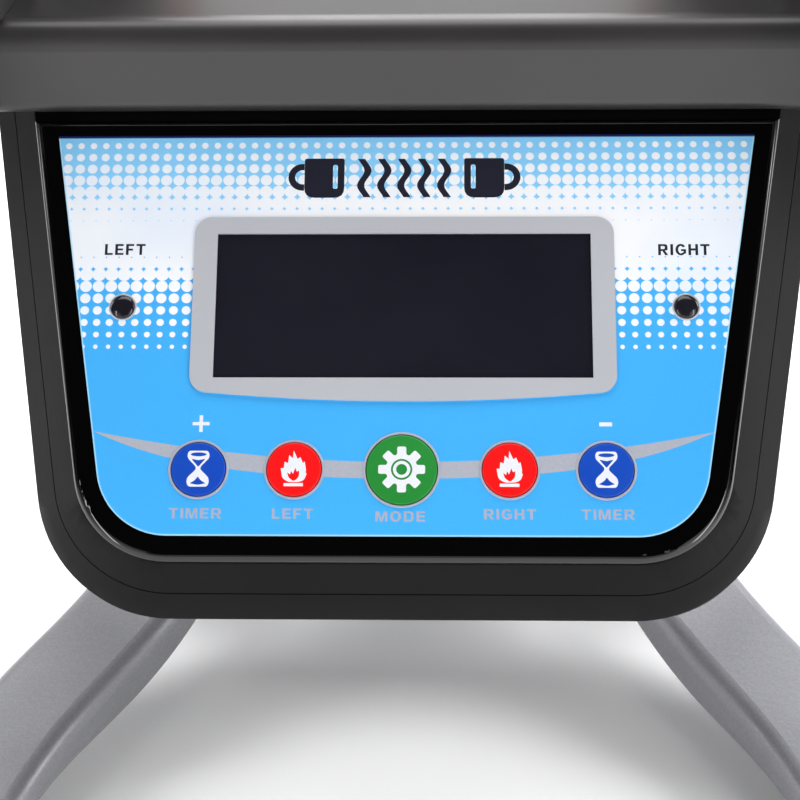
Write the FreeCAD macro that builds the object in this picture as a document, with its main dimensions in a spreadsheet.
import FreeCAD, Part
import math
import os
import re
import Sketcher

# Two-station mug heat press: a cast deck on a column with four splayed legs, a sloping control case in
# front, and on the deck two wrap heaters, each closed on its mug by a cam lever.
# Frame: X to the right, Y to the back, Z up, origin on the floor under the middle of the machine.
# Pieces of the control panel are drawn flat in the panel's own frame (x right, y up the slope, z out of
# the face) and their Placement tilts them into the machine.

doc = FreeCAD.newDocument("mug_heat_press")
Vector = FreeCAD.Vector
Rotation = FreeCAD.Rotation

SIZES = [
    # deck, column and feet
    ("deck_wide", 344.0), ("deck_long", 158.0), ("deck_thick", 20.0), ("deck_corner", 24.0),
    ("deck_low_edge", 3.0), ("deck_top_edge", 6.0), ("deck_overhang", 4.2), ("deck_gap", 5.2),
    ("column_wide", 100.0), ("column_deep", 66.0), ("column_wall", 4.0), ("column_y", 20.0),
    ("hub_wide", 96.0), ("hub_long", 76.0), ("hub_low", 26.0), ("hub_tall", 22.0), ("hub_corner", 16.0),
    ("shelf_reach", 14.0), ("shelf_inset", 8.0), ("shelf_thick", 8.0),
    ("foot_tall", 6.0), ("foot_radius", 11.0), ("leg_bolt_radius", 2.5), ("leg_bolt_head", 4.5),
    ("leg_bolt_tall", 4.5), ("cap_clear", 0.6), ("bolt_out", 8.0), ("bolt_inset", 20.0), ("leg_seat_lift", 10.6),
    ("wire_radius", 7.0), ("wire_lift", 20.0),
    # control panel
    ("panel_y", -65.0), ("panel_z", 184.0), ("panel_tilt", 45.0),
    ("print_half", 73.3), ("print_flare", 0.1636), ("print_low", 83.6), ("print_top", 2.3),
    ("print_corner", 14.8), ("print_thick", 0.35),
    ("rim", 5.1), ("fascia_thick", 2.65), ("fascia_edge", 1.8), ("fascia_top", 6.4),
    ("bevel", 10.0), ("upper_deep", 5.5), ("case_wall", 2.5), ("case_half", 92.0), ("case_gap", 0.4),
    ("case_reach", 130.0),
    # display
    ("window_half", 38.8), ("window_top", 19.9), ("window_low", 51.0), ("window_thick", 1.6),
    ("bezel_half", 43.6), ("bezel_top", 16.3), ("bezel_low", 54.1), ("bezel_bow", 1.8),
    ("bezel_round", 3.6), ("bezel_proud", 0.5),
    ("lamp_x", 58.1), ("lamp_v", -35.8), ("lamp_radius", 2.5), ("lamp_proud", 0.5),
    # keys
    ("key_v", -70.1), ("key_outer_x", 41.05), ("key_inner_x", 21.7), ("key_radius", 5.5),
    ("mode_radius", 7.15), ("key_thick", 1.0), ("key_proud", 0.5), ("key_travel", 0.5), ("key_clear", 0.3),
    ("ring_wide", 0.5), ("ring_gap", 0.15), ("ring_proud", 0.25), ("stem_radius", 2.5), ("stem_end", 3.3),
    ("sight_margin", 4.0),
    # boards inside the case
    ("board_half", 62.0), ("board_top_v", -26.0), ("board_low_v", -79.0), ("board_face", 9.5),
    ("board_thick", 1.6), ("switch_half", 3.0), ("switch_tall", 3.5), ("plunger_radius", 1.75),
    ("plunger_tall", 1.8), ("spacer_radius", 3.0), ("spacer_inset", 2.0), ("module_gap", 0.2),
    ("module_margin", 1.0), ("window_clear", 0.6), ("window_fit", 0.4), ("face_gap", 0.05),
    ("power_lift", 8.0), ("power_half", 70.0), ("power_front", 20.0), ("power_back", 8.0),
    ("pillar_inset", 6.0), ("relay_wide", 16.0), ("relay_long", 20.0), ("relay_tall", 17.0),
    ("relay_front", 60.0), ("core_x", -40.0), ("core_half", 21.0), ("core_deep", 36.0),
    ("core_tall", 30.0), ("core_back", 14.0), ("coil_inset", 7.0), ("coil_out", 6.0), ("coil_short", 5.0),
    # mug stations
    ("station_side", 60.0), ("lever_out", 5.7), ("mug_radius", 41.3), ("pad_thick", 2.8),
    ("felt_thick", 4.0), ("shell_thick", 1.5), ("layer_gap", 0.1), ("wrap_long", 104.0),
    ("pad_inset", 1.0), ("felt_inset", 3.0), ("wrap_gap_top", 44.0), ("wrap_gap_low", 10.0),
    ("hinge_clear", 6.2), ("hinge_lift", 10.0), ("hinge_radius", 3.0), ("knuckle_radius", 5.0),
    ("weld_sink", 1.1), ("running_gap", 0.05), ("jaw_opening", 12.0), ("lever_swing", 90.0),
    ("knuckle_near", 24.0), ("knuckle_far", 34.5), ("rib_near", 35.0), ("rib_far", 46.0),
    ("cradle_base", 4.0), ("cradle_front", 14.0), ("cradle_behind", 4.2), ("rib_front", 8.0),
    ("rib_drop", 8.0), ("rib_step", 12.0), ("slope_lift", 16.0), ("seat_gap", 0.02),
    # levers
    ("cam_reach", 22.0), ("cam_gap", 0.4), ("cam_wide", 12.0), ("lever_hub", 8.0), ("lever_hub_wide", 24.0),
    ("lever_pin_radius", 4.0), ("lever_long", 150.0), ("lever_lean", 20.0), ("lever_bar", 15.0),
    ("lever_bar_wide", 10.0), ("grip_long", 92.0), ("grip_radius", 11.5), ("grip_core", 5.0),
    ("cheek_thick", 5.0), ("cheek_gap", 0.5), ("pin_end", 1.5), ("bracket_base", 5.0), ("cheek_head", 10.0), ("bracket_half", 28.0),
    ("bracket_front", 8.5), ("bracket_back", 36.5), ("screw_side", 23.0), ("screw_near", 14.0),
    ("screw_far", 30.0),
    # pressure adjuster
    ("boss_tall", 2.7), ("boss_radius", 9.0), ("wheel_gap", 0.3), ("wheel_thick", 5.2),
    ("wheel_radius", 15.0), ("stud_radius", 4.0), ("pad_clear", 0.8), ("pad_disc", 3.2),
    ("pad_disc_radius", 11.0), ("adjust_travel", 2.5), ("stud_short", 1.2),
    # rear of the column
    ("cover_side", 8.0), ("cover_low", 58.0), ("cover_top_gap", 9.2), ("cover_thick", 2.5),
    ("hatch_margin", 6.0), ("cover_screw_in", 4.0), ("cover_screw_up", 3.0),
    ("slot_wide", 46.0), ("slot_tall", 3.0), ("slot_pitch", 7.0), ("slot_gap", 12.0),
    ("inlet_half", 15.0), ("inlet_lift", 12.0), ("inlet_tall", 62.0), ("inlet_lip", 3.0),
    ("inlet_deep", 24.0), ("inlet_body", 2.0), ("inlet_edge", 1.5),
    ("socket_half", 12.0), ("socket_low", 5.0), ("socket_tall", 16.0), ("socket_deep", 16.0),
    ("drawer_half", 10.0), ("drawer_low", 25.0), ("drawer_tall", 8.0), ("drawer_deep", 11.0),
    ("drawer_proud", 0.8), ("drawer_gap", 0.2), ("blade_half", 0.9), ("blade_tall", 4.4),
    ("rocker_up", 48.0), ("rocker_half", 6.5), ("rocker_tall", 17.0), ("rocker_swing", 18.0),
    ("rocker_sunk", 2.5), ("rocker_clear", 0.6), ("trunnion_radius", 1.5),
    ("screw_radius", 2.0), ("screw_head", 3.5), ("screw_head_tall", 3.2), ("screw_shank", 6.0),
    ("screw_hole_deep", 10.0),
]

sheet = doc.addObject("Spreadsheet::Sheet", "Sizes")
for row, (alias, amount) in enumerate(SIZES, start=1):
    sheet.set("A%d" % row, alias.replace("_", " "))
    sheet.set("B%d" % row, str(amount))
    sheet.setAlias("B%d" % row, alias)

# Places worked out from the driving sizes, kept as formulas in a second sheet.
PLACES = [
    ("deck_low", "panel_z + deck_gap"),
    ("deck_face", "deck_low + deck_thick"),
    ("deck_front", "panel_y + deck_overhang"),
    ("deck_back", "deck_front + deck_long"),
    ("hub_face", "hub_low + hub_tall"),
    ("column_front", "column_y - column_deep / 2"),
    ("column_back", "column_y + column_deep / 2"),
    ("shelf_wide", "hub_wide + 2 * shelf_reach"),
    ("shelf_long", "hub_long - 2 * shelf_inset"),
    ("leg_seat", "hub_low + shelf_thick + leg_seat_lift"),
    ("bolt_x", "hub_wide / 2 + bolt_out"),
    ("bolt_side", "hub_long / 2 - bolt_inset"),
    ("side_run", "sqrt(1 + print_flare * print_flare)"),
    ("fascia_low", "print_thick + fascia_thick"),
    ("case_low", "panel_z - (print_low + rim + bevel + fascia_low + bevel) * sin(panel_tilt * 1deg)"),
    ("case_front", "panel_y - (print_low + rim) * cos(panel_tilt * 1deg)"),
    ("case_top", "panel_z + deck_gap - case_gap"),
    ("board_back", "board_face + board_thick"),
    ("pad_radius", "mug_radius + pad_thick"),
    ("felt_radius", "pad_radius + layer_gap + felt_thick"),
    ("shell_inner", "felt_radius + layer_gap"),
    ("shell_radius", "shell_inner + shell_thick"),
    ("wrap_span", "180 - wrap_gap_top / 2 - wrap_gap_low / 2"),
    ("hinge_drop", "shell_radius + hinge_clear"),
    ("hinge_z", "deck_face + hinge_lift"),
    ("mug_z", "hinge_z + hinge_drop"),
    ("boss_end", "shell_radius + boss_tall"),
    ("wheel_start", "boss_end + wheel_gap"),
    ("pad_face", "wheel_start + wheel_thick + adjust_travel + pad_clear + pad_disc"),
    ("station_x", "deck_wide / 2 - station_side"),
    ("lever_y", "deck_front - lever_out"),
    ("station_y", "lever_y + cam_reach + pad_face"),
    ("cradle_end", "station_y + shell_radius + cradle_behind"),
    ("cover_half", "column_wide / 2 - cover_side"),
    ("cover_top", "deck_low - cover_top_gap"),
    ("cover_face", "column_back + cover_thick"),
    ("inlet_low", "cover_low + inlet_lift"),
    ("inlet_front", "cover_face + inlet_lip"),
    ("rocker_y", "inlet_front - rocker_sunk"),
    ("rocker_z", "inlet_low + rocker_up"),
]
places = doc.addObject("Spreadsheet::Sheet", "Places")
ALIASES = {alias: "Sizes" for alias, amount in SIZES}


def linked(text):
    """An expression's text with each size's name pointed at the sheet that holds it."""
    def point(found):
        word = found.group()
        return "%s.%s" % (ALIASES[word], word) if word in ALIASES else word
    return re.sub(r"[a-z][a-z_]*", point, str(text))


for row, (alias, formula) in enumerate(PLACES, start=1):
    within = re.sub(r"Places\.", "", linked(formula))
    places.set("A%d" % row, alias.replace("_", " "))
    places.set("B%d" % row, "=" + within)
    places.setAlias("B%d" % row, alias)
    ALIASES[alias] = "Places"
doc.recompute()


def size(alias):
    holder = sheet if ALIASES[alias] == "Sizes" else places
    return float(holder.get(alias))


nodes = {}


def bind(item, **links):
    for name, text in links.items():
        item.setExpression(name.replace("__", "."), linked(text))
    return item


def place(item, x="0", y="0", z="0", turn=None):
    item.Placement = FreeCAD.Placement(Vector(), turn or Rotation())
    return bind(item, Placement__Base__x=x, Placement__Base__y=y, Placement__Base__z=z)


def new(kind, name):
    return doc.addObject(kind, name)


def box(x, y, z):
    """A block between two named places along each axis."""
    item = new("Part::Box", "Block")
    bind(item, Length="(%s) - (%s)" % (x[1], x[0]), Width="(%s) - (%s)" % (y[1], y[0]),
         Height="(%s) - (%s)" % (z[1], z[0]))
    return place(item, x[0], y[0], z[0])


ALONG = {"x": Rotation(Vector(0, 1, 0), 90), "y": Rotation(Vector(1, 0, 0), -90), "z": Rotation()}


def rod(axis, radius, start, end, across):
    """A round bar along one axis. across gives its two other coordinates in X, Y, Z order."""
    item = new("Part::Cylinder", "Rod")
    bind(item, Radius=radius, Height="(%s) - (%s)" % (end, start))
    spot = list(across)
    spot.insert("xyz".index(axis), start)
    return place(item, spot[0], spot[1], spot[2], ALONG[axis])


def joined(*pieces):
    item = new("Part::MultiFuse", "Joined")
    item.Shapes = list(pieces)
    return item


def group(*pieces):
    item = new("Part::Compound", "Group")
    item.Links = list(pieces)
    return item


def cut(base, *tools):
    item = new("Part::Cut", "Cut")
    item.Base = base
    item.Tool = tools[0] if len(tools) == 1 else joined(*tools)
    return item


def common(*pieces):
    item = new("Part::MultiCommon", "Shared")
    item.Shapes = list(pieces)
    return item


def tilted(item):
    """Tip a piece drawn in the panel's frame into the machine."""
    item.Placement = FreeCAD.Placement(Vector(), Rotation(Vector(1, 0, 0), 45))
    return bind(item, Placement__Rotation__Angle="panel_tilt * 1deg",
                Placement__Base__y="panel_y", Placement__Base__z="panel_z")


def node(name, item):
    """Name a finished sub-part."""
    item.Label = name
    nodes[name] = item
    return item


# ---- sketched bodies -------------------------------------------------------------------------------

def sketch_on(body, low):
    """A sketch on the body's own XY plane, lifted to a named height."""
    plane = [item for item in body.Origin.OriginFeatures if item.Role == "XY_Plane"][0]
    sketch = body.newObject("Sketcher::SketchObject", "Outline")
    sketch.AttachmentSupport = (plane, "")
    sketch.MapMode = "FlatFace"
    sketch.setExpression("AttachmentOffset.Base.z", linked(low))
    return sketch


def draw_loop(sketch, corners):
    """A closed loop of straight lines through the corners, joined end to end."""
    count = len(corners)
    spots = [Vector(x, y, 0) for x, y in corners]
    first = sketch.GeometryCount
    for i in range(count):
        sketch.addGeometry(Part.LineSegment(spots[i], spots[(i + 1) % count]), False)
    for i in range(count):
        sketch.addConstraint(Sketcher.Constraint("Coincident", first + i, 2, first + (i + 1) % count, 1))
    return first


def dimension(sketch, constraint, text):
    index = sketch.addConstraint(constraint)
    sketch.setExpression("Constraints[%d]" % index, linked(text))


def draw_symmetric(sketch, low_half, top_half, low, top):
    """A rectangle or trapezium, the same on both sides of the sketch's upright axis."""
    line = draw_loop(sketch, [(-20, -10), (20, -10), (20, 10), (-20, 10)])
    constraint = Sketcher.Constraint
    sketch.addConstraint(constraint("Symmetric", line, 1, line, 2, -2))
    sketch.addConstraint(constraint("Symmetric", line + 2, 1, line + 2, 2, -2))
    dimension(sketch, constraint("DistanceX", line, 1, line, 2, 40), "2 * (%s)" % low_half)
    dimension(sketch, constraint("DistanceX", line + 2, 2, line + 2, 1, 40), "2 * (%s)" % top_half)
    dimension(sketch, constraint("DistanceY", -1, 1, line + 1, 1, -10), low)
    dimension(sketch, constraint("DistanceY", -1, 1, line + 1, 2, 10), top)


def draw_circle(sketch, x, y, radius):
    index = sketch.addGeometry(Part.Circle(Vector(1, 1, 0), Vector(0, 0, 1), 3), False)
    dimension(sketch, Sketcher.Constraint("DistanceX", -1, 1, index, 3, 1), x)
    dimension(sketch, Sketcher.Constraint("DistanceY", -1, 1, index, 3, 1), y)
    dimension(sketch, Sketcher.Constraint("Radius", index, 3), radius)


def pad(body, sketch, tall):
    item = body.newObject("PartDesign::Pad", "Pad")
    item.Profile = sketch
    bind(item, Length=tall)
    sketch.Visibility = False
    doc.recompute()
    return item


def pocket(body, sketch, deep):
    item = body.newObject("PartDesign::Pocket", "Pocket")
    item.Profile = sketch
    bind(item, Length=deep)
    doc.recompute()
    return item


def dress(body, kind, chosen, amount):
    """A fillet or chamfer of the edges that chosen() picks from the body's last shape."""
    base = body.Tip
    names = ["Edge%d" % (i + 1) for i, edge in enumerate(base.Shape.Edges) if chosen(edge)]
    item = body.newObject("PartDesign::" + kind, kind)
    item.Base = (base, names)
    bind(item, **{"Radius" if kind == "Fillet" else "Size": amount})
    doc.recompute()
    return item


def upright(edge):
    ends = [vertex.Point for vertex in edge.Vertexes]
    return len(ends) == 2 and math.hypot(ends[0].x - ends[1].x, ends[0].y - ends[1].y) < 1e-6


def at_height(amount):
    """Picks the edges that lie flat at one height of the body."""
    def chosen(edge):
        bounds = edge.BoundBox
        return abs(bounds.ZMin - amount) < 1e-4 and abs(bounds.ZMax - amount) < 1e-4
    return chosen


def slab(name, half, low_y, top_y, low, tall, corner):
    """A flat rectangular body, upright corners rounded."""
    body = new("PartDesign::Body", name)
    sketch = sketch_on(body, low)
    draw_symmetric(sketch, half, half, low_y, top_y)
    pad(body, sketch, tall)
    dress(body, "Fillet", upright, corner)
    return body


def panel_form(name, margin, top, low, tall):
    """The panel's outline, widened by a margin, as a prism with its two lower corners rounded."""
    body = new("PartDesign::Body", name)
    sketch = sketch_on(body, low)
    low_half = "print_half - print_flare * (print_low + %s) + side_run * (%s)" % (margin, margin)
    top_half = "print_half + print_flare * (%s) + side_run * (%s)" % (top, margin)
    draw_symmetric(sketch, low_half, top_half, "-(print_low + %s)" % margin, top)
    pad(body, sketch, tall)
    middle = (body.Shape.BoundBox.YMin + body.Shape.BoundBox.YMax) / 2
    dress(body, "Fillet", lambda edge: upright(edge) and edge.BoundBox.YMin < middle,
          "print_corner + %s" % margin)
    return body


def plate_across(spots, x_low, x_high):
    """A plate cut to an outline in the Y-Z plane, between two X places."""
    wire = Part.makePolygon([Vector(x_low, y, z) for y, z in spots + spots[:1]])
    return Part.Face(wire).extrude(Vector(x_high - x_low, 0, 0))


def disc_across(radius, y, z, x_low, x_high):
    return Part.makeCylinder(radius, x_high - x_low, Vector(x_low, y, z), Vector(1, 0, 0))


# Cap screws: seat places on the deck's top (x, y, seat height) and on the rear cover (x, z).
DECK_SCREWS = []
for side_x in ("-station_x", "station_x"):
    for across in (" - ", " + "):
        near_x = side_x + across + "(knuckle_near - 7)"
        far_x = side_x + across + "(rib_near - 9)"
        bracket_x = side_x + across + "screw_side"
        DECK_SCREWS.append((near_x, "station_y - cradle_front + 6", "deck_face + cradle_base"))
        DECK_SCREWS.append((far_x, "cradle_end - 6", "deck_face + cradle_base"))
        DECK_SCREWS.append((bracket_x, "lever_y + screw_near", "deck_face + bracket_base"))
        DECK_SCREWS.append((bracket_x, "lever_y + screw_far", "deck_face + bracket_base"))
COVER_SCREWS = [(x, z) for x in ("cover_screw_in - cover_half", "cover_half - cover_screw_in")
                for z in ("cover_low + cover_screw_up", "cover_top - cover_screw_up")]
screw_hole = "screw_radius + running_gap"


def deck_screw_holes(low, high):
    return [rod("z", screw_hole, low, high, (x, y)) for x, y, seat in DECK_SCREWS]


def cover_screw_holes():
    return [rod("y", screw_hole, "column_back - column_wall - 1", "cover_face + 1", spot)
            for spot in COVER_SCREWS]


# ---- stand: deck, column, hub, legs and feet -------------------------------------------------------

deck = slab("Deck", "deck_wide / 2", "deck_front", "deck_back", "deck_low", "deck_thick", "deck_corner")
dress(deck, "Fillet", at_height(size("deck_low")), "deck_low_edge")
dress(deck, "Fillet", at_height(size("deck_face")), "deck_top_edge")
node("deck", cut(deck, *deck_screw_holes("deck_face - screw_hole_deep", "deck_face + 1")))

hub = slab("Hub", "hub_wide / 2", "column_y - hub_long / 2", "column_y + hub_long / 2", "hub_low",
           "hub_tall", "hub_corner")
shelf = slab("Shelf", "shelf_wide / 2", "column_y - shelf_long / 2", "column_y + shelf_long / 2",
             "hub_low", "shelf_thick", "hub_corner / 2")
shelf_holes = [rod("z", "leg_bolt_radius + running_gap", "hub_low - 1", "hub_low + shelf_thick + 1",
                   (sx + "bolt_x", "column_y " + sy + " bolt_side"))
               for sx in ("-", "") for sy in ("-", "+")]
node("base_hub", cut(joined(hub, shelf), *shelf_holes))

shaft = slab("Shaft", "column_wide / 2", "column_front", "column_back", "hub_face",
             "deck_low - hub_face", "column_wall")
hollow = box(("column_wall - column_wide / 2", "column_wide / 2 - column_wall"),
             ("column_front + column_wall", "column_back - column_wall"),
             ("hub_face + column_wall", "deck_low - column_wall"))
hatch = box(("hatch_margin - cover_half", "cover_half - hatch_margin"), ("column_y", "column_back + 1"),
            ("cover_low + hatch_margin", "cover_top - hatch_margin"))
wire_hole = rod("y", "wire_radius", "column_front - 1", "column_y", ("0", "case_low + wire_lift"))
node("column", cut(shaft, hollow, hatch, wire_hole, *cover_screw_holes()))


def bolt_spot(side, end):
    """Where a leg's bolt goes down into the hub's shelf."""
    return side * size("bolt_x"), size("column_y") + end * size("bolt_side")


def rounded_section(centre, heading, wide, low, top, corner):
    """An upright rounded rectangle across a leg's path."""
    across = Vector(-heading[1], heading[0], 0)
    half, round_half = wide / 2, wide / 2 - corner
    spots = []
    bulge = corner * (1 - math.sqrt(0.5))

    def spot(side, height):
        return Vector(centre[0], centre[1], height) + across * side

    edges = []
    loop = [((-round_half, low), (round_half, low), (half - bulge, low + bulge), (half, low + corner)),
            ((half, low + corner), (half, top - corner), (half - bulge, top - bulge), (round_half, top)),
            ((round_half, top), (-round_half, top), (bulge - half, top - bulge), (-half, top - corner)),
            ((-half, top - corner), (-half, low + corner), (bulge - half, low + bulge),
             (-round_half, low))]
    for start, end, middle, finish in loop:
        edges.append(Part.makeLine(spot(*start), spot(*end)))
        edges.append(Part.Arc(spot(*end), spot(*middle), spot(*finish)).toShape())
    return Part.Wire(edges)


# A leg's path from the hub's corner outwards: how far beyond the hub's side and beyond its end, then the
# leg's width, underside and top.
LEG_STATIONS = [
    (0.4, -18.5, 35.0, 34.0, 46.9),
    (12.0, -17.0, 34.0, 33.5, 46.6),
    (26.0, -5.5, 32.5, 21.0, 36.5),
    (44.8, 18.6, 31.5, 8.0, 24.0),
    (59.6, 47.6, 30.0, 6.0, 18.5),
    (64.0, 65.5, 27.0, 6.0, 16.0),
]
LEG_CORNER = 4.8
ROOT_STATIONS = 2
FAR = 400.0


def leg_spot(side, end, station):
    """A station's place on the floor plan. side is -1 on the left, end is -1 at the front."""
    out, along = station[:2]
    return side * (size("hub_wide") / 2 + out), size("column_y") + end * (size("hub_long") / 2 + along)


def block(low, high):
    return Part.makeBox(high[0] - low[0], high[1] - low[1], high[2] - low[2], Vector(*low))


def leg(side, end):
    """A leg lofted through its stations, cut to the hub, its shelf, the column, the floor and its bolt."""
    sections = []
    path = [leg_spot(side, end, station) for station in LEG_STATIONS]
    last = len(path) - 1
    lift = size("hub_low") + size("shelf_thick") - LEG_STATIONS[0][3]
    drop = size("foot_tall") - LEG_STATIONS[-1][3]
    for i, (out, along, wide, low, top) in enumerate(LEG_STATIONS):
        before, after = path[max(i - 1, 0)], path[min(i + 1, last)]
        run = (after[0] - before[0], after[1] - before[1])
        length = math.hypot(*run)
        heading = (side, 0.0) if i == 0 else (run[0] / length, run[1] / length)
        share = lift if i < ROOT_STATIONS else drop if i > last - 2 else (lift + drop) / 2
        sections.append(rounded_section(path[i], heading, wide, low + share, top + share, LEG_CORNER))
    loft = Part.makeLoft(sections, True, False)
    gap, middle = size("case_gap") / 2, size("column_y")
    hub_half, shelf_half = size("hub_wide") / 2 + gap / 2, size("shelf_wide") / 2 + gap
    shelf_deep, column_half = size("shelf_long") / 2 + gap, size("column_wide") / 2 + gap
    tools = [block((-hub_half, -FAR, 0), (hub_half, FAR, FAR)),
             block((-shelf_half, middle - shelf_deep, size("hub_low")),
                   (shelf_half, middle + shelf_deep, size("hub_low") + size("shelf_thick") + gap / 10)),
             block((-column_half, -FAR, size("hub_face")), (column_half, FAR, FAR)),
             block((-FAR, -FAR, -FAR), (FAR, FAR, size("foot_tall")))]
    x, y = bolt_spot(side, end)
    seat, drill = size("leg_seat"), size("leg_bolt_radius") + size("running_gap")
    tools.append(Part.makeCylinder(size("leg_bolt_head") + size("cap_clear"), FAR, Vector(x, y, seat)))
    tools.append(Part.makeCylinder(drill, FAR, Vector(x, y, 0)))
    return loft.cut(tools)


def shaped(name, shape):
    item = new("Part::Feature", name)
    item.Shape = shape
    return item


def foot_spot(side, end):
    """Middle of a foot, between the last two stations of its leg."""
    outer, inner = leg_spot(side, end, LEG_STATIONS[-1]), leg_spot(side, end, LEG_STATIONS[-2])
    return (outer[0] + inner[0]) / 2, (outer[1] + inner[1]) / 2


SIDES = (("left", -1), ("right", 1))
ENDS = (("front", -1), ("rear", 1))
feet, leg_bolts = [], []
for end_name, end in ENDS:
    for side_name, side in SIDES:
        node("leg_%s_%s" % (end_name, side_name), shaped("Leg", leg(side, end)))
        x, y = foot_spot(side, end)
        feet.append(rod("z", "foot_radius", "0", "foot_tall", (x, y)))
        spot = bolt_spot(side, end)
        shank = rod("z", "leg_bolt_radius", "hub_low + 1", "leg_seat + 0.1", spot)
        leg_bolts.append(joined(rod("z", "leg_bolt_head", "leg_seat", "leg_seat + leg_bolt_tall", spot), shank))
node("rubber_feet", group(*feet))
node("leg_bolts", group(*leg_bolts))

# ---- control case ----------------------------------------------------------------------------------

outer_form = panel_form("CaseOuter", "rim + bevel", "case_reach", "-case_reach", "case_reach - fascia_low")
dress(outer_form, "Chamfer", at_height(-size("fascia_low")), "bevel")
inner_form = panel_form("CaseInner", "rim + bevel - case_wall", "case_reach", "-case_reach",
                        "case_reach - fascia_low - case_wall")
BEVEL_INSET = 2 - math.sqrt(2)
dress(inner_form, "Chamfer", at_height(-size("fascia_low") - size("case_wall")),
      "bevel - %.4f * case_wall" % BEVEL_INSET)
upper_zone = panel_form("UpperZone", "rim + 2 * bevel", "case_reach", "-(fascia_low + upper_deep)", "case_reach")
sight = panel_form("Sight", "-sight_margin", "-sight_margin", "-(fascia_low + case_wall + 2)",
                   "case_wall + 4")


for form in (outer_form, inner_form, upper_zone, sight):
    tilted(form)
case_block = box(("-case_half", "case_half"), ("case_front - case_reach", "column_front"),
                 ("case_low", "case_top"))
room = box(("case_wall - case_half", "case_half - case_wall"),
           ("case_front - case_reach", "column_front - case_wall"),
           ("case_low + case_wall", "case_top - case_wall"))
case_wire_hole = rod("y", "wire_radius", "column_front - case_wall - 1", "column_front + 1",
                     ("0", "case_low + wire_lift"))
case_shell = cut(common(outer_form, case_block), common(inner_form, room), case_wire_hole)
node("case_upper", cut(common(case_shell, upper_zone), sight))
node("case_lower", cut(case_shell, upper_zone))

KEYS = [("key_time_up", "-key_outer_x", "key_radius"), ("key_heat_left", "-key_inner_x", "key_radius"),
        ("key_mode", "0", "mode_radius"), ("key_heat_right", "key_inner_x", "key_radius"),
        ("key_time_down", "key_outer_x", "key_radius")]
LAMPS = [("lamp_left", "-lamp_x"), ("lamp_right", "lamp_x")]
between_keys = "(key_inner_x + key_outer_x) / 2"
board_corner = ("board_half - 6 * spacer_inset", "board_top_v - spacer_inset")
SPACERS = [("-" + between_keys, "key_v - 2 * spacer_inset"), (between_keys, "key_v - 2 * spacer_inset"),
           ("-(%s)" % board_corner[0], board_corner[1]), board_corner]


def window_cut(body, low, deep, spare):
    sketch = sketch_on(body, low)
    half = "window_half + " + spare
    draw_symmetric(sketch, half, half, "-window_low - " + spare, "-window_top + " + spare)
    pocket(body, sketch, deep)


def round_cuts(body, low, deep, circles):
    sketch = sketch_on(body, low)
    for x, v, radius in circles:
        draw_circle(sketch, x, v, radius)
    pocket(body, sketch, deep)


fascia = panel_form("Fascia", "rim", "fascia_top", "-fascia_low", "fascia_thick")
rim_height = at_height(-size("print_thick"))
dress(fascia, "Fillet", rim_height, "fascia_edge")
lamp_cuts = [(x, "lamp_v", "lamp_radius + running_gap") for name, x in LAMPS]
stem_cuts = [(x, "key_v", "stem_radius + key_clear") for name, x, radius in KEYS]
key_cuts = [(x, "key_v", radius + " + key_clear + 0.1") for name, x, radius in KEYS]
window_cut(fascia, "-print_thick", "fascia_thick", "window_clear")
round_cuts(fascia, "-print_thick", "fascia_thick", lamp_cuts)
round_cuts(fascia, "-print_thick", "fascia_thick", stem_cuts)
round_cuts(fascia, "-print_thick", "key_thick - key_proud + key_travel + key_clear - print_thick", key_cuts)
spacers = [rod("z", "spacer_radius", "-board_face", "-fascia_low", spot) for spot in SPACERS]
node("fascia", tilted(joined(fascia, *spacers)))

overlay = panel_form("Overlay", "0", "print_top", "-print_thick", "print_thick")
window_cut(overlay, "0", "print_thick", "window_clear")
round_cuts(overlay, "0", "print_thick", lamp_cuts)
round_cuts(overlay, "0", "print_thick", key_cuts)
node("overlay", tilted(overlay))

bezel = slab("Bezel", "bezel_half", "-bezel_low", "-bezel_top", "0", "bezel_proud", "bezel_round")
bow_half = "(bezel_half - bezel_round)"
bow_radius = "((%s * %s + bezel_bow * bezel_bow) / (2 * bezel_bow))" % (bow_half, bow_half)
bow = common(rod("z", bow_radius, "0", "bezel_proud", ("0", bow_radius + " - bezel_low - bezel_bow")),
             box(("-" + bow_half, bow_half), ("-bezel_low - bezel_bow - 1", "-bezel_low + 1"),
                 ("0", "bezel_proud")))
sight_hole = box(("-window_half", "window_half"), ("-window_low", "-window_top"), ("-1", "bezel_proud + 1"))
node("display_bezel", tilted(cut(joined(bezel, bow), sight_hole)))

window = slab("Window", "window_half + window_fit", "-window_low - window_fit", "-window_top + window_fit",
              "-window_thick - face_gap", "window_thick", "window_clear / 2")
node("display_window", tilted(window))
module = box(("-window_half - module_margin", "window_half + module_margin"),
             ("-window_low - module_margin", "-window_top + module_margin"),
             ("-board_face", "-fascia_low - module_gap"))
glass = box(("-window_half + module_margin", "window_half - module_margin"),
            ("-window_low + module_margin", "-window_top - module_margin"),
            ("-fascia_low - module_gap", "-window_thick - face_gap - module_gap"))
node("display_module", tilted(joined(module, glass)))

for name, x in LAMPS:
    lens = rod("z", "lamp_radius", "-board_face", "lamp_proud", (x, "lamp_v"))
    collar = rod("z", "lamp_radius + 0.4", "-board_face", "-board_face + 1.5", (x, "lamp_v"))
    node(name, tilted(joined(lens, collar)))

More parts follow.
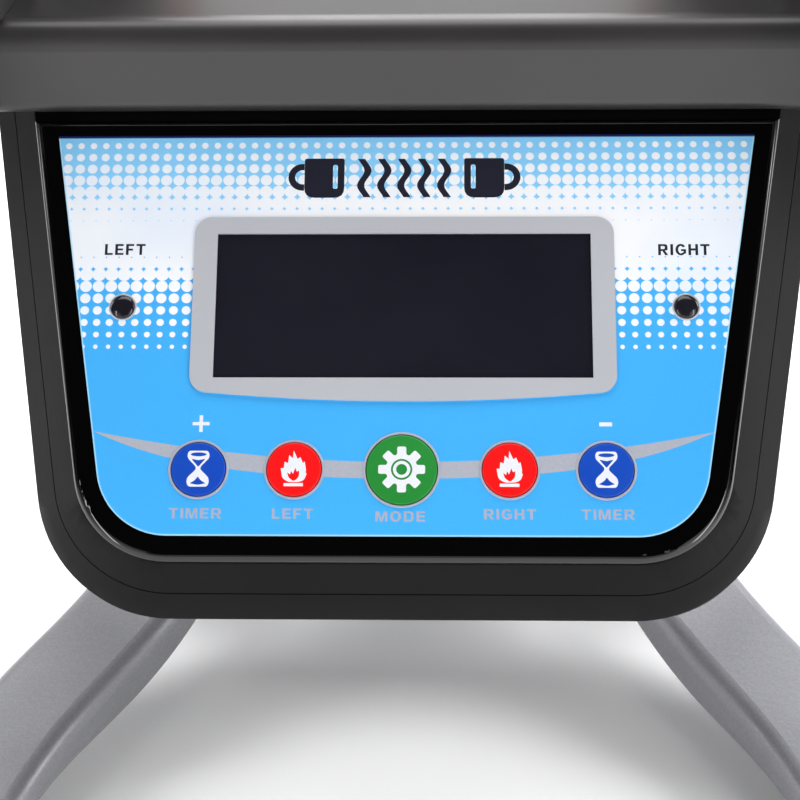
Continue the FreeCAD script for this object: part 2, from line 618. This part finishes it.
rings, switches = [], []
for name, x, radius in KEYS:
    cap = rod("z", radius, "key_proud - key_thick", "key_proud", (x, "key_v"))
    stem = rod("z", "stem_radius", "-stem_end", "key_proud - key_thick + 0.1", (x, "key_v"))
    node(name, tilted(joined(cap, stem)))
    inner = radius + " + ring_gap"
    rings.append(cut(rod("z", inner + " + ring_wide", "0", "ring_proud", (x, "key_v")),
                     rod("z", inner, "-1", "ring_proud + 1", (x, "key_v"))))
    body = box((x + " - switch_half", x + " + switch_half"), ("key_v - switch_half", "key_v + switch_half"),
               ("-board_face", "-board_face + switch_tall"))
    plunger = rod("z", "plunger_radius", "-board_face + switch_tall - 0.1",
                  "-board_face + switch_tall + plunger_tall", (x, "key_v"))
    switches.append(joined(body, plunger))
node("key_rings", tilted(group(*rings)))
node("tact_switches", tilted(group(*switches)))
board = slab("Board", "board_half", "board_low_v", "board_top_v", "-board_back", "board_thick", "2")
node("control_board", tilted(board))

power_low = "case_low + case_wall + power_lift"
power_face = power_low + " + board_thick"
power_start, power_end = "case_front + power_front", "column_front - case_wall - power_back"
power_plate = box(("-power_half", "power_half"), (power_start, power_end), (power_low, power_face))
pillars = [rod("z", "spacer_radius", "case_low + case_wall", power_low, (x, y))
           for x in ("pillar_inset - power_half", "power_half - pillar_inset")
           for y in (power_start + " + pillar_inset", power_end + " - pillar_inset")]
relays = [box((x, x + " + relay_wide"), ("column_front - relay_front", "column_front - relay_front + relay_long"),
              (power_face, power_face + " + relay_tall")) for x in ("relay_long", "relay_long + 1.5 * relay_wide")]
node("power_board", joined(power_plate, *pillars, *relays))
core_end = "column_front - case_wall - core_back"
core = box(("core_x - core_half", "core_x + core_half"), (core_end + " - core_deep", core_end),
           (power_face, power_face + " + core_tall"))
coil = box(("core_x - core_half + coil_inset", "core_x + core_half - coil_inset"),
           (core_end + " - core_deep - coil_out", core_end + " + coil_out"),
           (power_face + " + coil_short", power_face + " + core_tall - coil_short"))
node("transformer", joined(core, coil))

# ---- rear cover, power inlet and switch ------------------------------------------------------------

cover_plate = box(("-cover_half", "cover_half"), ("column_back", "cover_face"), ("cover_low", "cover_top"))
inlet_hole = box(("inlet_edge - inlet_half", "inlet_half - inlet_edge"), ("column_back - 1", "cover_face + 1"),
                 ("inlet_low + inlet_edge", "inlet_low + inlet_tall - inlet_edge"))
slots = []
slot_floor = size("inlet_low") + size("inlet_tall") + size("slot_pitch")
slot_count = int((size("cover_top") - size("slot_gap") - slot_floor) / size("slot_pitch"))
for i in range(slot_count):
    slot_top = "cover_top - slot_gap - %d * slot_pitch" % i
    slots.append(box(("-slot_wide / 2", "slot_wide / 2"), ("column_back - 1", "cover_face + 1"),
                     (slot_top + " - slot_tall", slot_top)))
node("rear_cover", cut(cover_plate, inlet_hole, *slots, *cover_screw_holes()))
lip = box(("-inlet_half", "inlet_half"), ("cover_face", "inlet_front"), ("inlet_low", "inlet_low + inlet_tall"))
body = box(("inlet_body - inlet_half", "inlet_half - inlet_body"), ("cover_face - inlet_deep", "cover_face"),
           ("inlet_low + inlet_body", "inlet_low + inlet_tall - inlet_body"))
socket_base = "inlet_low + socket_low"
socket = box(("-socket_half", "socket_half"), ("inlet_front - socket_deep", "inlet_front + 1"),
             (socket_base, socket_base + " + socket_tall"))
drawer_base = "inlet_low + drawer_low"
drawer_hole = box(("-drawer_half - drawer_gap", "drawer_half + drawer_gap"),
                  ("inlet_front - drawer_deep - 1", "inlet_front + 1"),
                  (drawer_base + " - drawer_gap", drawer_base + " + drawer_tall + drawer_gap"))
rocker_hole = box(("-rocker_half - rocker_clear", "rocker_half + rocker_clear"),
                  ("cover_face - inlet_deep / 2", "inlet_front + 1"),
                  ("rocker_z - rocker_tall / 2 - rocker_clear", "rocker_z + rocker_tall / 2 + rocker_clear"))
blade_spots = [("7 * inlet_body / 2", "6"), ("-7 * inlet_body / 2", "6"), ("0", "10")]
blades = [box((x + " - blade_half", x + " + blade_half"), ("inlet_front - socket_deep - 1", "cover_face - inlet_body"),
              ("%s + %s - blade_tall / 2" % (socket_base, up), "%s + %s + blade_tall / 2" % (socket_base, up)))
          for x, up in blade_spots]
node("power_inlet", joined(cut(joined(lip, body), socket, drawer_hole, rocker_hole), *blades))
node("fuse_drawer", box(("-drawer_half", "drawer_half"), ("inlet_front - drawer_deep", "inlet_front + drawer_proud"),
                        (drawer_base, drawer_base + " + drawer_tall")))


def rocker():
    """A switch rocker: two flats meeting at a shallow angle over a round back, one side pressed in."""
    half, wide = size("rocker_tall") / 2, 2 * size("rocker_half")
    tip = size("rocker_swing") / 2
    root, root_half, face = -4.0, 3.5, 3.2
    crest = face + 1.4 - half * math.tan(math.radians(tip)) * 0.2
    spots = [Vector(0, root, -root_half), Vector(0, crest, -half), Vector(0, face, 0),
             Vector(0, crest, half), Vector(0, root, root_half)]
    outline = Part.makePolygon(spots + spots[:1])
    shape = Part.Face(outline).extrude(Vector(wide, 0, 0))
    shape.translate(Vector(-wide / 2, 0, 0))
    shape.rotate(Vector(), Vector(1, 0, 0), -tip)
    trunnion_half = wide / 2 + 2 * size("rocker_clear") / 3
    shape = shape.fuse(disc_across(size("trunnion_radius"), 0, 0, -trunnion_half, trunnion_half))
    shape.translate(Vector(0, size("rocker_y"), size("rocker_z")))
    return shape


node("rocker_switch", shaped("Rocker", rocker()))

# ---- mug stations ----------------------------------------------------------------------------------

AROUND_X = Rotation(Vector(1, 1, 1), 120)


def wrap(name_in, name_out, x, half, start, span):
    """A layer of the wrap heater: part of a tube along X. start is counted from +Y towards +Z."""
    outer = new("Part::Cylinder", "Layer")
    bind(outer, Radius=name_out, Height="2 * (%s)" % half, Angle=span)
    inner = new("Part::Cylinder", "Hollow")
    bind(inner, Radius=name_in, Height="2 * (%s) + 2" % half)
    place(inner, z="-1")
    layer = cut(outer, inner)
    layer.Placement = FreeCAD.Placement(Vector(), Rotation(Vector(1, 0, 0), start).multiply(AROUND_X))
    return bind(layer, Placement__Base__x="%s - (%s)" % (x, half), Placement__Base__y="station_y",
                Placement__Base__z="mug_z")


REAR_START = -90 + size("wrap_gap_low") / 2
FRONT_START = 90 + size("wrap_gap_top") / 2
SLOPE = 24


def layers(x, start):
    """Heater pad, felt and steel shell of one half."""
    half = "wrap_long / 2"
    heater = wrap("mug_radius", "pad_radius", x, half + " - pad_inset", start, "wrap_span")
    felt = wrap("pad_radius + layer_gap", "felt_radius", x, half + " - felt_inset", start + 1,
                "wrap_span - 2")
    shell = wrap("shell_inner", "shell_radius", x, half, start, "wrap_span")
    return heater, felt, shell


def jaw_knuckle(x, low, high):
    eye = rod("x", "knuckle_radius", x + low, x + high, ("station_y", "hinge_z"))
    tongue = box((x + low, x + high), ("station_y - 1.8 * knuckle_radius", "station_y - 0.4 * knuckle_radius"),
                 ("hinge_z - 1", "mug_z - shell_radius + weld_sink"))
    return joined(eye, tongue)


def front_shell(x, shell):
    boss = rod("y", "boss_radius", "station_y - boss_end", "station_y - shell_inner - shell_thick / 4",
               (x, "mug_z"))
    knuckles = [jaw_knuckle(x, " - knuckle_far", " - knuckle_near"),
                jaw_knuckle(x, " + knuckle_near", " + knuckle_far")]
    pin_hole = rod("x", "hinge_radius + running_gap", x + " - wrap_long", x + " + wrap_long",
                   ("station_y", "hinge_z"))
    stud_hole = rod("y", "stud_radius + running_gap", "station_y - boss_end - 1",
                    "station_y - shell_inner + 1", (x, "mug_z"))
    return cut(joined(shell, boss, *knuckles), pin_hole, stud_hole)


def cradle(x):
    """A foot plate with two end ribs, hollowed for the rear shell, and the lugs of the jaw's hinge."""
    whole = (x + " - wrap_long", x + " + wrap_long")
    base = box((x + " - rib_far", x + " + rib_far"), ("station_y - cradle_front", "cradle_end"),
               ("deck_face", "deck_face + cradle_base"))
    round_cut = rod("x", "shell_radius + seat_gap", whole[0], whole[1], ("station_y", "mug_z"))
    ribs, lugs = [], []
    for low, high in ((" - rib_far", " - rib_near"), (" + rib_near", " + rib_far")):
        span = (x + low, x + high)
        ribs.append(box(span, ("station_y + rib_front", "cradle_end"), ("deck_face", "mug_z - rib_drop")))
        lugs.append(rod("x", "knuckle_radius", span[0], span[1], ("station_y", "hinge_z")))
        lugs.append(box(span, ("station_y - knuckle_radius", "station_y + rib_step"), ("deck_face", "hinge_z")))
    slope = box((whole[0], whole[1]), ("0", "shell_radius"), ("0", "shell_radius"))
    slope.Placement = FreeCAD.Placement(Vector(), Rotation(Vector(1, 0, 0), SLOPE))
    bind(slope, Placement__Base__x=whole[0], Placement__Base__y="cradle_end",
         Placement__Base__z="deck_face + slope_lift")
    pin_hole = rod("x", "hinge_radius + running_gap", whole[0], whole[1], ("station_y", "hinge_z"))
    holes = deck_screw_holes("deck_face - 1", "deck_face + cradle_base + 1")
    return cut(joined(base, *(ribs + lugs)), round_cut, slope, pin_hole, *holes)


def lever_bracket(x):
    """Two cheeks on a foot plate. They carry the lever's pin in front of the jaw."""
    deck_face, pivot_y, pivot_z = size("deck_face"), size("lever_y"), size("mug_z")
    foot_front, foot_back = pivot_y + size("bracket_front"), pivot_y + size("bracket_back")
    foot_tall = size("bracket_base")
    head, hub_half = size("cheek_head"), size("lever_hub_wide") / 2 + size("cheek_gap")
    half = size("bracket_half")
    shape = Part.makeBox(2 * half, foot_back - foot_front, foot_tall, Vector(x - half, foot_front, deck_face))
    outline = [(foot_front, deck_face), (foot_back, deck_face), (foot_back, deck_face + 9),
               (pivot_y + 16, pivot_z - 36), (pivot_y + head * 0.95, pivot_z - 4), (pivot_y, pivot_z),
               (pivot_y - head * 0.98, pivot_z - 3), (foot_front - 1.5, pivot_z - 42)]
    for low in (x - hub_half - size("cheek_thick"), x + hub_half):
        high = low + size("cheek_thick")
        cheek = plate_across(outline, low, high).fuse(disc_across(head, pivot_y, pivot_z, low, high))
        shape = shape.fuse(cheek)
    pin, drill = size("lever_pin_radius") + size("running_gap"), size("screw_radius") + size("running_gap")
    holes = [disc_across(pin, pivot_y, pivot_z, x - half, x + half)]
    for across in (x - size("screw_side"), x + size("screw_side")):
        for along in (pivot_y + size("screw_near"), pivot_y + size("screw_far")):
            holes.append(Part.makeCylinder(drill, 3 * foot_tall, Vector(across, along, deck_face - foot_tall)))
    return shape.cut(holes).removeSplitter()


def cam_outline():
    """Points of the cam's working side. The pad's face is a plane that tips with the jaw as the lever turns,
    in a constant ratio, and the cam is the shape that this plane stays a small gap away from."""
    ratio = size("jaw_opening") / size("lever_swing")
    pad, drop = size("pad_face"), size("hinge_drop")
    reach = pad + size("cam_reach")
    steps, spots = 24, []
    for i in range(steps + 1):
        turn = math.radians(size("lever_swing")) * i / steps
        jaw = ratio * turn
        beta = turn + jaw
        gap = reach * math.cos(jaw) - drop * math.sin(jaw) - pad - size("cam_gap")
        slope = (-reach * math.sin(jaw) - drop * math.cos(jaw)) * ratio / (1 + ratio)
        spots.append((gap * math.cos(beta) - slope * math.sin(beta),
                      gap * math.sin(beta) + slope * math.cos(beta)))
    return spots


def lever(x):
    """Cam, hub, bar and grip core. The bar leans forward of straight down at rest."""
    pivot = Vector(0, size("lever_y"), size("mug_z"))
    hub, hub_half, half = size("lever_hub"), size("lever_hub_wide") / 2, size("cam_wide") / 2
    working = [Vector(x - half, y, z) + pivot for y, z in cam_outline()]
    curve = Part.BSplineCurve()
    curve.interpolate(working)
    nose, heel = working[0], working[-1]
    under = pivot + Vector(x - half, hub * 0.6, -hub * 1.6)
    behind = pivot + Vector(x - half, -hub * 0.7, 0)
    edges = [curve.toShape(), Part.makeLine(heel, behind), Part.makeLine(behind, under),
             Part.Arc(under, nose + (under - nose) * 0.45 + Vector(0, 1.6, -2.2), nose).toShape()]
    cam = Part.Face(Part.Wire(edges)).extrude(Vector(2 * half, 0, 0))
    boss = disc_across(hub, pivot.y, pivot.z, x - hub_half, x + hub_half)
    long, thick, wide = size("lever_long"), size("lever_bar"), size("lever_bar_wide")
    grip_start = long - size("grip_long")
    bar = Part.makeBox(wide, thick, grip_start, Vector(-wide / 2, -thick / 2, -grip_start))
    ends = [edge for edge in bar.Edges if abs(edge.Vertexes[0].Z - edge.Vertexes[-1].Z) > 1]
    bar = bar.makeFillet(3.0, ends)
    stop = Part.makeCylinder(size("grip_radius"), 4.0, Vector(0, 0, -grip_start - 2))
    core = Part.makeCylinder(size("grip_core"), size("grip_long") - 6, Vector(0, 0, -long + 6))
    arm = bar.fuse([stop, core])
    arm.rotate(Vector(), Vector(1, 0, 0), -size("lever_lean"))
    arm.translate(pivot + Vector(x, 0, 0))
    pin = size("lever_pin_radius") + size("running_gap")
    hole = disc_across(pin, pivot.y, pivot.z, x - 30, x + 30)
    return cam.fuse([boss, arm]).cut(hole).removeSplitter()


def lever_grip(x):
    """A moulded grip, waisted for the hand, closed at its end."""
    radius, core = size("grip_radius"), size("grip_core")
    top, low = size("grip_long") - size("lever_long") - 2.3, -size("lever_long")
    waist = (top + low) / 2
    profile = Part.BSplineCurve()
    profile.interpolate([Vector(radius * 0.9, 0, top), Vector(radius, 0, top - 6), Vector(radius * 0.86, 0, waist),
                         Vector(radius * 1.04, 0, low + 14), Vector(radius * 0.7, 0, low + 2)])
    tip = Part.makeLine(Vector(radius * 0.7, 0, low + 2), Vector(0, 0, low))
    floor = low + 6
    inside = Part.makePolygon([Vector(0, 0, low), Vector(0, 0, floor), Vector(core, 0, floor),
                               Vector(core, 0, top), Vector(radius * 0.9, 0, top)])
    wire = Part.Wire(Part.__sortEdges__([profile.toShape(), tip] + inside.Edges))
    shape = Part.Face(wire).revolve(Vector(), Vector(0, 0, 1), 360)
    shape.rotate(Vector(), Vector(1, 0, 0), -size("lever_lean"))
    shape.translate(Vector(x, size("lever_y"), size("mug_z")))
    return shape


def pressure_wheel(x):
    """A knurled wheel on the stud. It turns about Y."""
    start, thick, radius = size("wheel_start"), size("wheel_thick"), size("wheel_radius")
    spot = Vector(x, size("station_y") - start - thick, size("mug_z"))
    along = Vector(0, 1, 0)
    shape = Part.makeCylinder(radius, thick, spot, along)
    grooves = []
    count = 20
    for i in range(count):
        angle = 2 * math.pi * i / count
        at = spot + Vector(radius * math.cos(angle), -1, radius * math.sin(angle))
        grooves.append(Part.makeCylinder(1.1, thick + 2, at, along))
    hole = Part.makeCylinder(size("stud_radius") + size("running_gap"), thick + 2, spot - along, along)
    return shape.cut(grooves + [hole])


def pressure_pad(x):
    """The cam bears on this disc. Its stud passes through the wheel into the jaw's boss."""
    y_face = "station_y - pad_face"
    disc = rod("y", "pad_disc_radius", y_face, y_face + " + pad_disc", (x, "mug_z"))
    stud = rod("y", "stud_radius", y_face + " + pad_disc - 0.1", "station_y - shell_radius - stud_short",
               (x, "mug_z"))
    return joined(disc, stud)


hinge_pins, lever_pins = [], []


def cap_screw(axis, seat, across):
    """A cap screw's head on its seat and its shank below."""
    head = rod(axis, "screw_head", seat, "%s + screw_head_tall" % seat, across)
    return joined(head, rod(axis, "screw_radius", "%s - screw_shank" % seat, "%s + 0.1" % seat, across))


for side_name, side in SIDES:
    x_text = "station_x" if side > 0 else "-station_x"
    x = side * size("station_x")
    heater, felt, shell = layers(x_text, REAR_START)
    node("rear_heater_" + side_name, heater)
    node("rear_felt_" + side_name, felt)
    node("rear_shell_" + side_name, shell)
    heater, felt, shell = layers(x_text, FRONT_START)
    node("jaw_heater_" + side_name, heater)
    stud_way = rod("y", "stud_radius + stud_short / 4", "station_y - pad_face",
                   "station_y - pad_radius - stud_short / 2", (x_text, "mug_z"))
    node("jaw_felt_" + side_name, cut(felt, stud_way))
    node("jaw_shell_" + side_name, front_shell(x_text, shell))
    node("cradle_" + side_name, cradle(x_text))
    node("lever_bracket_" + side_name, shaped("Bracket", lever_bracket(x)))
    node("lever_" + side_name, shaped("Lever", lever(x)))
    node("lever_grip_" + side_name, shaped("Grip", lever_grip(x)))
    node("pressure_wheel_" + side_name, shaped("Wheel", pressure_wheel(x)))
    node("pressure_pad_" + side_name, pressure_pad(x_text))
    hinge_pins.append(rod("x", "hinge_radius", x_text + " - rib_far - pin_end", x_text + " + rib_far + pin_end",
                          ("station_y", "hinge_z")))
    cheek_out = "(lever_hub_wide / 2 + cheek_gap + cheek_thick + pin_end)"
    lever_pins.append(rod("x", "lever_pin_radius", x_text + " - " + cheek_out, x_text + " + " + cheek_out,
                          ("lever_y", "mug_z")))
node("hinge_pins", group(*hinge_pins))
node("lever_pins", group(*lever_pins))
cap_screws = [cap_screw("z", seat, (x, y)) for x, y, seat in DECK_SCREWS]
cap_screws += [cap_screw("y", "cover_face", spot) for spot in COVER_SCREWS]
node("cap_screws", group(*cap_screws))

# ---- check and write -------------------------------------------------------------------------------

doc.recompute()
failed = [item.Label for item in doc.Objects if {"Invalid", "Error"} & set(item.State)]
if failed:
    raise RuntimeError("objects that did not build: " + ", ".join(failed))
for name, item in nodes.items():
    if item.Shape.isNull() or not item.Shape.isValid():
        raise RuntimeError("shape of %s is not valid" % name)
os.makedirs("parts", exist_ok=True)
for name, item in nodes.items():
    item.Shape.exportStep("parts/%s.step" % name)
print("%d sub-parts written" % len(nodes))
